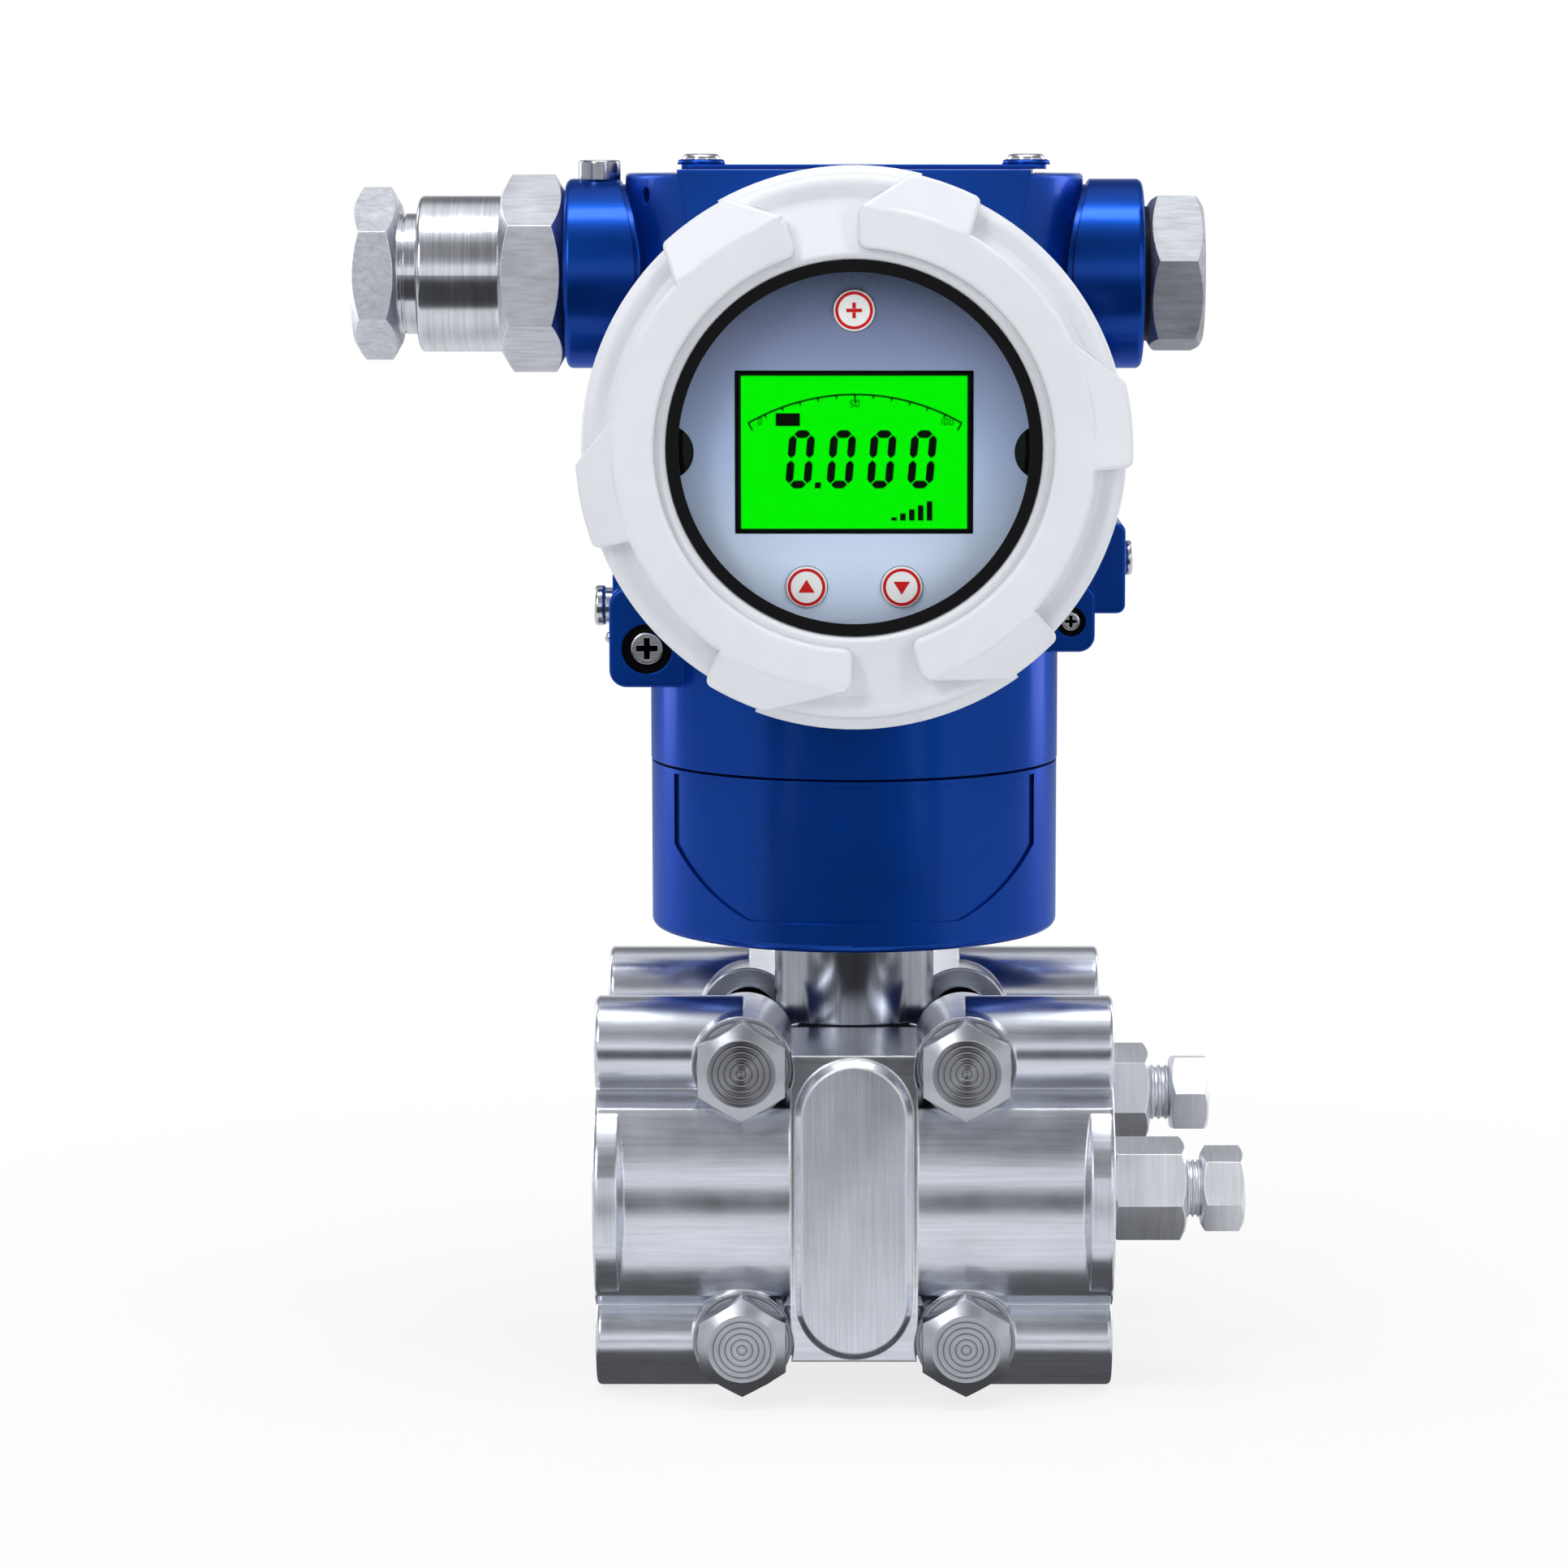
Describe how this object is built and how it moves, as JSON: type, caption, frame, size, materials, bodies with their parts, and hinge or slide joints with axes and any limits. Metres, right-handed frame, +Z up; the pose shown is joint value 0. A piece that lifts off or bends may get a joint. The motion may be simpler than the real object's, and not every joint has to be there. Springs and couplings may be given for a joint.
{
  "type": "differential pressure transmitter",
  "caption": "Differential pressure transmitter: forged process flanges and vent valves, round neck, twin-chamber housing with a display window, gland and blanking plug.",
  "frame": {"origin": "on the neck's axis, at the height of the process flanges' undersides", "axes": "+Z up along the neck, -Y out through the display window, -X out of the cable gland and the process ports"},
  "size_m": [0.1665, 0.116, 0.2289],
  "materials": {
    "blue_paint": "semi-gloss",
    "white_paint": "semi-gloss",
    "cast_steel": "satin",
    "turned_steel": "satin",
    "bolt_steel": "satin",
    "valve_steel": "satin",
    "gland_steel": "polished",
    "plate_steel": "satin",
    "seal_ring": "matte",
    "window": "clear",
    "display_plastic": "matte",
    "screen_plastic": "gloss",
    "board_plastic": "matte",
    "button_plastic": "matte"
  },
  "bodies": {
    "sensor": {"capsule": "turned_steel", "front_flange": "cast_steel", "rear_flange": "cast_steel", "flange_seals": "seal_ring", "flange_bolts": "bolt_steel", "bolt_washers": "bolt_steel", "flange_nuts": "bolt_steel", "front_vent_body": "valve_steel", "rear_vent_body": "valve_steel", "neck_shell": "blue_paint"},
    "front_vent": {"front_vent_screw": "valve_steel"},
    "rear_vent": {"rear_vent_screw": "valve_steel"},
    "housing": {"housing": "blue_paint", "neck_seal": "seal_ring", "set_screw": "bolt_steel", "name_plate": "plate_steel", "plate_screws": "plate_steel", "lock_screw": "bolt_steel", "left_ear_screw": "bolt_steel", "right_ear_screw": "bolt_steel", "left_earth_screw": "bolt_steel", "right_earth_screw": "bolt_steel", "left_earth_washer": "bolt_steel", "right_earth_washer": "bolt_steel", "gland_body": "gland_steel", "gland_bush": "seal_ring", "blanking_plug": "gland_steel", "plug_ring": "seal_ring", "display_face": "display_plastic", "display_screen": "screen_plastic", "display_board": "board_plastic", "display_carrier": "display_plastic", "electronics_module": "board_plastic", "terminal_block": "board_plastic", "terminal_screws": "bolt_steel"},
    "clamp": {"clamp_nut": "gland_steel"},
    "button_top": {"top_button": "button_plastic"},
    "button_left": {"left_button": "button_plastic"},
    "button_right": {"right_button": "button_plastic"},
    "front_cover_turn": {"front_cover_ring": "seal_ring"},
    "front_cover": {"front_cover": "white_paint", "window_glass": "window", "window_seal": "seal_ring", "glass_ring": "seal_ring"},
    "rear_cover_turn": {"rear_cover_ring": "seal_ring"},
    "rear_cover": {"rear_cover": "white_paint"}
  },
  "joints": [
    {"name": "housing_turn", "type": "hinge", "parent": "sensor", "child": "housing", "pos_m": [0, 0, 0.1153], "axis": [0, 0, 1], "range_deg": [-180, 180]},
    {"name": "front_vent_turn", "type": "hinge", "parent": "sensor", "child": "front_vent", "pos_m": [0.048, -0.027, 0.0368], "axis": [1, 0, 0], "range_deg": [0, 720]},
    {"name": "rear_vent_turn", "type": "hinge", "parent": "sensor", "child": "rear_vent", "pos_m": [0.048, 0.027, 0.0448], "axis": [1, 0, 0], "range_deg": [0, 720]},
    {"name": "clamp_turn", "type": "hinge", "parent": "housing", "child": "clamp", "pos_m": [-0.0852, 0, 0.2065], "axis": [-1, 0, 0], "range_deg": [0, 1080]},
    {"name": "top_button_press", "type": "slide", "parent": "housing", "child": "button_top", "axis": [0, 1, 0], "range_m": [0, 0.0006], "stiffness_N_per_m": 1500, "springref_m": -0.0004},
    {"name": "left_button_press", "type": "slide", "parent": "housing", "child": "button_left", "axis": [0, 1, 0], "range_m": [0, 0.0006], "stiffness_N_per_m": 1500, "springref_m": -0.0004},
    {"name": "right_button_press", "type": "slide", "parent": "housing", "child": "button_right", "axis": [0, 1, 0], "range_m": [0, 0.0006], "stiffness_N_per_m": 1500, "springref_m": -0.0004},
    {"name": "front_cover_screw", "type": "hinge", "parent": "housing", "child": "front_cover_turn", "pos_m": [0, -0.0391, 0.1768], "axis": [0, -1, 0], "range_deg": [0, 1800]},
    {"name": "front_cover_out", "type": "slide", "parent": "front_cover_turn", "child": "front_cover", "axis": [0, -1, 0], "range_m": [0, 0.0075]},
    {"name": "rear_cover_screw", "type": "hinge", "parent": "housing", "child": "rear_cover_turn", "pos_m": [0, 0.0391, 0.1768], "axis": [0, 1, 0], "range_deg": [0, 1800]},
    {"name": "rear_cover_out", "type": "slide", "parent": "rear_cover_turn", "child": "rear_cover", "axis": [0, 1, 0], "range_m": [0, 0.0075]}
  ],
  "couplings": [
    {"joint": "front_cover_out", "follows": "front_cover_screw", "m_per_rad": 0.0002387},
    {"joint": "rear_cover_out", "follows": "rear_cover_screw", "m_per_rad": 0.0002387}
  ]
}
